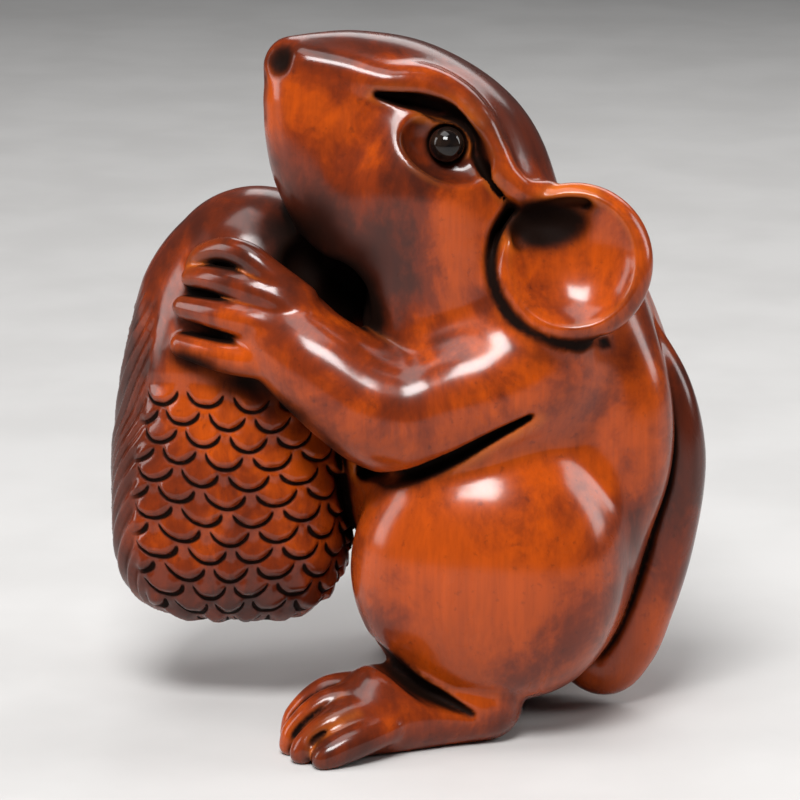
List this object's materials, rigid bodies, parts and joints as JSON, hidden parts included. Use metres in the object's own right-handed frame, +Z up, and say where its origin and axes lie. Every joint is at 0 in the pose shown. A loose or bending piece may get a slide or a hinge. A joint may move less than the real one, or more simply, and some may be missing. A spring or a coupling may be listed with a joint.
{
  "type": "mouse and fish netsuke",
  "caption": "Polished boxwood toggle carved as a mouse that sits up and hugs an upright scaled fish, with inlaid black eyes; stands on its feet as an ornament.",
  "frame": {"origin": "bottom centre of the bounding box, on the surface that the feet stand on", "axes": "+Z up; the mouse faces -Y; its left flank is +X"},
  "size_m": [0.0356, 0.0434, 0.05],
  "materials": {
    "stained_boxwood": "polished, mottled orange to red-brown stain",
    "black_horn": "polished black"
  },
  "bodies": {
    "root": {"carving": "stained_boxwood", "eye_left": "black_horn", "eye_right": "black_horn"}
  },
  "joints": []
}
